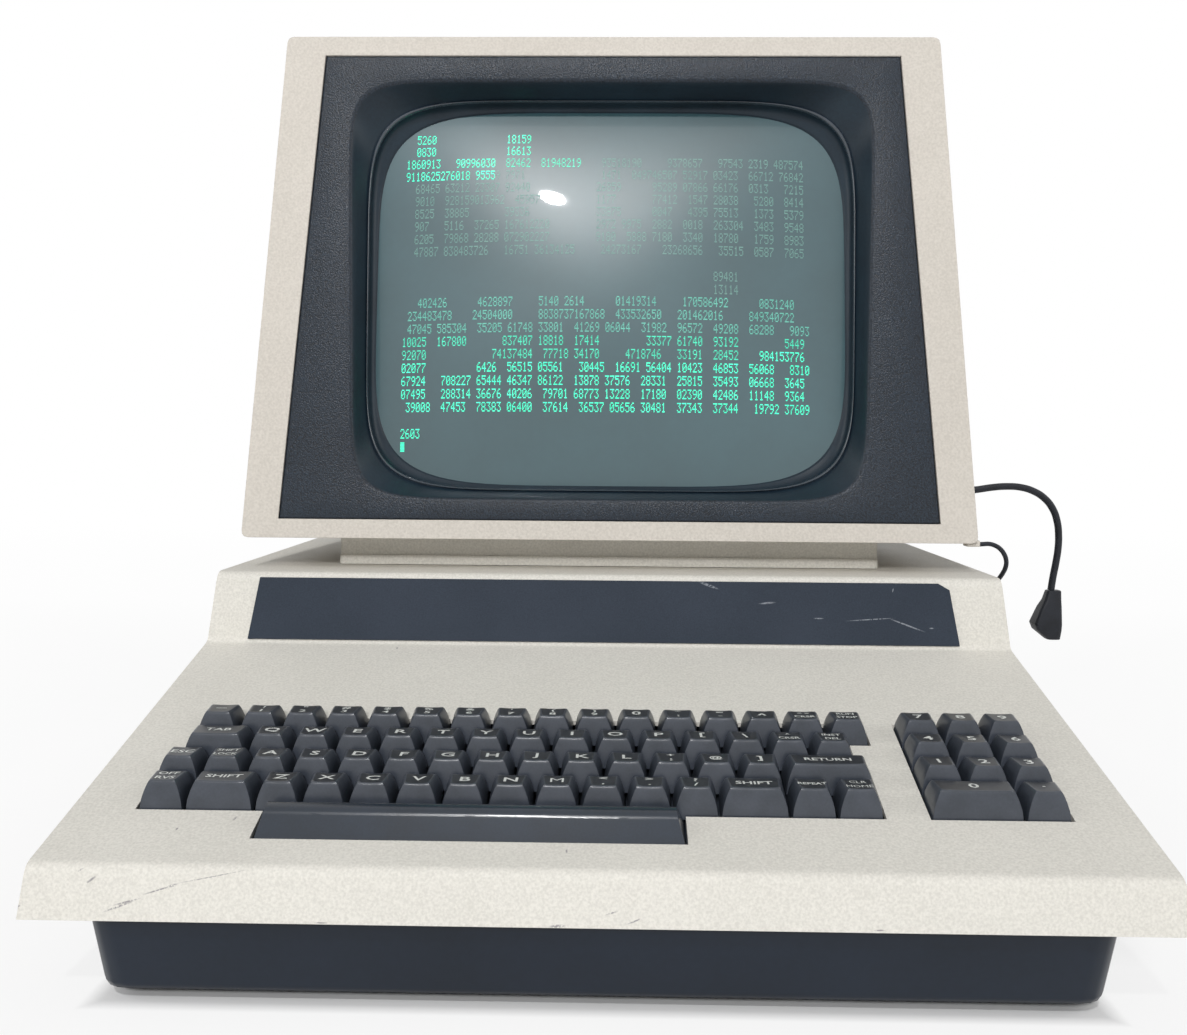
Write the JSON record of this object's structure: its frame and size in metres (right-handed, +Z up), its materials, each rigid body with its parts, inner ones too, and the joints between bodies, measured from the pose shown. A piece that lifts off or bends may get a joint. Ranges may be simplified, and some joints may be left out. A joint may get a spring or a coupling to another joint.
{
  "type": "desktop computer",
  "caption": "Early desktop computer: dark base pan, pale hinged case with a sloped full keyboard and keypad, and a monitor fixed on top with a leaning face and a curved screen.",
  "frame": {"origin": "on the table, in the middle of the footprint of the machine without its hanging lead", "axes": "+Z up, the keyboard faces -Y, +X to the right of someone who types"},
  "size_m": [0.5141, 0.488, 0.445],
  "materials": {
    "case_paint": "fine textured",
    "pan_paint": "semi-gloss",
    "cream_plastic": "fine textured",
    "dark_plastic": "grained",
    "key_plastic": "semi-gloss",
    "black_plastic": "satin",
    "strip": "satin",
    "glass": "polished",
    "rubber": "matt",
    "steel": "plain",
    "board": "satin",
    "winding": "lacquered",
    "can": "sleeved"
  },
  "bodies": {
    "base": {"base_pan": "pan_paint", "foot_front_left": "rubber", "foot_front_right": "rubber", "foot_rear_left": "rubber", "foot_rear_right": "rubber", "main_board": "board", "transformer": "steel", "filter_capacitor": "can", "fuse_cap": "black_plastic", "mains_gland": "rubber", "hinge_bracket_left": "steel", "hinge_bracket_right": "steel"},
    "stay": {"prop_rod": "steel"},
    "switch": {"power_rocker": "black_plastic"},
    "case": {"top_case": "case_paint", "nameplate": "strip", "keyboard_plate": "key_plastic", "monitor_pedestal": "cream_plastic", "monitor_cabinet": "cream_plastic", "monitor_rear_cover": "dark_plastic", "monitor_bezel": "dark_plastic", "picture_tube": "glass", "deflection_yoke": "winding", "video_board": "board", "lead_relief": "rubber", "hanging_lead": "rubber", "lead_connector": "black_plastic", "monitor_cable": "rubber"},
    "knob": {"brightness_knob": "black_plastic"},
    "key_a": {"key_a": "key_plastic"},
    "key_b": {"key_b": "key_plastic"},
    "key_c": {"key_c": "key_plastic"},
    "key_d": {"key_d": "key_plastic"},
    "key_e": {"key_e": "key_plastic"},
    "key_f": {"key_f": "key_plastic"},
    "key_g": {"key_g": "key_plastic"},
    "key_h": {"key_h": "key_plastic"},
    "key_i": {"key_i": "key_plastic"},
    "key_j": {"key_j": "key_plastic"},
    "key_k": {"key_k": "key_plastic"},
    "key_l": {"key_l": "key_plastic"},
    "key_m": {"key_m": "key_plastic"},
    "key_n": {"key_n": "key_plastic"},
    "key_o": {"key_o": "key_plastic"},
    "key_p": {"key_p": "key_plastic"},
    "key_q": {"key_q": "key_plastic"},
    "key_r": {"key_r": "key_plastic"},
    "key_s": {"key_s": "key_plastic"},
    "key_t": {"key_t": "key_plastic"},
    "key_u": {"key_u": "key_plastic"},
    "key_v": {"key_v": "key_plastic"},
    "key_w": {"key_w": "key_plastic"},
    "key_x": {"key_x": "key_plastic"},
    "key_y": {"key_y": "key_plastic"},
    "key_z": {"key_z": "key_plastic"},
    "key_space": {"key_space": "key_plastic"},
    "key_return": {"key_return": "key_plastic"},
    "key_shift_lock": {"key_shift_lock": "key_plastic"},
    "key_shift_left": {"key_shift_left": "key_plastic"},
    "key_shift_right": {"key_shift_right": "key_plastic"}
  },
  "joints": [
    {"name": "case_hinge", "type": "hinge", "parent": "base", "child": "case", "pos_m": [0, 0.225, 0.0435], "axis": [-1, 0, 0], "range_deg": [0, 35]},
    {"name": "stay_pivot", "type": "hinge", "parent": "base", "child": "stay", "pos_m": [-0.19, 0.06, 0.034], "axis": [-1, 0, 0], "range_deg": [0, 75]},
    {"name": "power_switch", "type": "hinge", "parent": "base", "child": "switch", "pos_m": [-0.112, 0.218, 0.0205], "axis": [-1, 0, 0], "range_deg": [0, 16]},
    {"name": "brightness", "type": "hinge", "parent": "case", "child": "knob", "pos_m": [0.092, 0.233, 0.2155], "axis": [0, 1, 0], "range_deg": [0, 270]},
    {"name": "key_a_press", "type": "slide", "parent": "case", "child": "key_a", "axis": [0, 0.2756, -0.9613], "range_m": [0, 0.004], "stiffness_N_per_m": 100, "springref_m": -0.002},
    {"name": "key_b_press", "type": "slide", "parent": "case", "child": "key_b", "axis": [0, 0.2756, -0.9613], "range_m": [0, 0.004], "stiffness_N_per_m": 100, "springref_m": -0.002},
    {"name": "key_c_press", "type": "slide", "parent": "case", "child": "key_c", "axis": [0, 0.2756, -0.9613], "range_m": [0, 0.004], "stiffness_N_per_m": 100, "springref_m": -0.002},
    {"name": "key_d_press", "type": "slide", "parent": "case", "child": "key_d", "axis": [0, 0.2756, -0.9613], "range_m": [0, 0.004], "stiffness_N_per_m": 100, "springref_m": -0.002},
    {"name": "key_e_press", "type": "slide", "parent": "case", "child": "key_e", "axis": [0, 0.2756, -0.9613], "range_m": [0, 0.004], "stiffness_N_per_m": 100, "springref_m": -0.002},
    {"name": "key_f_press", "type": "slide", "parent": "case", "child": "key_f", "axis": [0, 0.2756, -0.9613], "range_m": [0, 0.004], "stiffness_N_per_m": 100, "springref_m": -0.002},
    {"name": "key_g_press", "type": "slide", "parent": "case", "child": "key_g", "axis": [0, 0.2756, -0.9613], "range_m": [0, 0.004], "stiffness_N_per_m": 100, "springref_m": -0.002},
    {"name": "key_h_press", "type": "slide", "parent": "case", "child": "key_h", "axis": [0, 0.2756, -0.9613], "range_m": [0, 0.004], "stiffness_N_per_m": 100, "springref_m": -0.002},
    {"name": "key_i_press", "type": "slide", "parent": "case", "child": "key_i", "axis": [0, 0.2756, -0.9613], "range_m": [0, 0.004], "stiffness_N_per_m": 100, "springref_m": -0.002},
    {"name": "key_j_press", "type": "slide", "parent": "case", "child": "key_j", "axis": [0, 0.2756, -0.9613], "range_m": [0, 0.004], "stiffness_N_per_m": 100, "springref_m": -0.002},
    {"name": "key_k_press", "type": "slide", "parent": "case", "child": "key_k", "axis": [0, 0.2756, -0.9613], "range_m": [0, 0.004], "stiffness_N_per_m": 100, "springref_m": -0.002},
    {"name": "key_l_press", "type": "slide", "parent": "case", "child": "key_l", "axis": [0, 0.2756, -0.9613], "range_m": [0, 0.004], "stiffness_N_per_m": 100, "springref_m": -0.002},
    {"name": "key_m_press", "type": "slide", "parent": "case", "child": "key_m", "axis": [0, 0.2756, -0.9613], "range_m": [0, 0.004], "stiffness_N_per_m": 100, "springref_m": -0.002},
    {"name": "key_n_press", "type": "slide", "parent": "case", "child": "key_n", "axis": [0, 0.2756, -0.9613], "range_m": [0, 0.004], "stiffness_N_per_m": 100, "springref_m": -0.002},
    {"name": "key_o_press", "type": "slide", "parent": "case", "child": "key_o", "axis": [0, 0.2756, -0.9613], "range_m": [0, 0.004], "stiffness_N_per_m": 100, "springref_m": -0.002},
    {"name": "key_p_press", "type": "slide", "parent": "case", "child": "key_p", "axis": [0, 0.2756, -0.9613], "range_m": [0, 0.004], "stiffness_N_per_m": 100, "springref_m": -0.002},
    {"name": "key_q_press", "type": "slide", "parent": "case", "child": "key_q", "axis": [0, 0.2756, -0.9613], "range_m": [0, 0.004], "stiffness_N_per_m": 100, "springref_m": -0.002},
    {"name": "key_r_press", "type": "slide", "parent": "case", "child": "key_r", "axis": [0, 0.2756, -0.9613], "range_m": [0, 0.004], "stiffness_N_per_m": 100, "springref_m": -0.002},
    {"name": "key_s_press", "type": "slide", "parent": "case", "child": "key_s", "axis": [0, 0.2756, -0.9613], "range_m": [0, 0.004], "stiffness_N_per_m": 100, "springref_m": -0.002},
    {"name": "key_t_press", "type": "slide", "parent": "case", "child": "key_t", "axis": [0, 0.2756, -0.9613], "range_m": [0, 0.004], "stiffness_N_per_m": 100, "springref_m": -0.002},
    {"name": "key_u_press", "type": "slide", "parent": "case", "child": "key_u", "axis": [0, 0.2756, -0.9613], "range_m": [0, 0.004], "stiffness_N_per_m": 100, "springref_m": -0.002},
    {"name": "key_v_press", "type": "slide", "parent": "case", "child": "key_v", "axis": [0, 0.2756, -0.9613], "range_m": [0, 0.004], "stiffness_N_per_m": 100, "springref_m": -0.002},
    {"name": "key_w_press", "type": "slide", "parent": "case", "child": "key_w", "axis": [0, 0.2756, -0.9613], "range_m": [0, 0.004], "stiffness_N_per_m": 100, "springref_m": -0.002},
    {"name": "key_x_press", "type": "slide", "parent": "case", "child": "key_x", "axis": [0, 0.2756, -0.9613], "range_m": [0, 0.004], "stiffness_N_per_m": 100, "springref_m": -0.002},
    {"name": "key_y_press", "type": "slide", "parent": "case", "child": "key_y", "axis": [0, 0.2756, -0.9613], "range_m": [0, 0.004], "stiffness_N_per_m": 100, "springref_m": -0.002},
    {"name": "key_z_press", "type": "slide", "parent": "case", "child": "key_z", "axis": [0, 0.2756, -0.9613], "range_m": [0, 0.004], "stiffness_N_per_m": 100, "springref_m": -0.002},
    {"name": "key_space_press", "type": "slide", "parent": "case", "child": "key_space", "axis": [0, 0.2756, -0.9613], "range_m": [0, 0.004], "stiffness_N_per_m": 140, "springref_m": -0.002},
    {"name": "key_return_press", "type": "slide", "parent": "case", "child": "key_return", "axis": [0, 0.2756, -0.9613], "range_m": [0, 0.004], "stiffness_N_per_m": 100, "springref_m": -0.002},
    {"name": "key_shift_lock_press", "type": "slide", "parent": "case", "child": "key_shift_lock", "axis": [0, 0.2756, -0.9613], "range_m": [0, 0.004], "stiffness_N_per_m": 100, "springref_m": -0.002},
    {"name": "key_shift_left_press", "type": "slide", "parent": "case", "child": "key_shift_left", "axis": [0, 0.2756, -0.9613], "range_m": [0, 0.004], "stiffness_N_per_m": 100, "springref_m": -0.002},
    {"name": "key_shift_right_press", "type": "slide", "parent": "case", "child": "key_shift_right", "axis": [0, 0.2756, -0.9613], "range_m": [0, 0.004], "stiffness_N_per_m": 100, "springref_m": -0.002}
  ],
  "couplings": [
    {"joint": "stay_pivot", "follows": "case_hinge", "ratio": 2.1429}
  ]
}
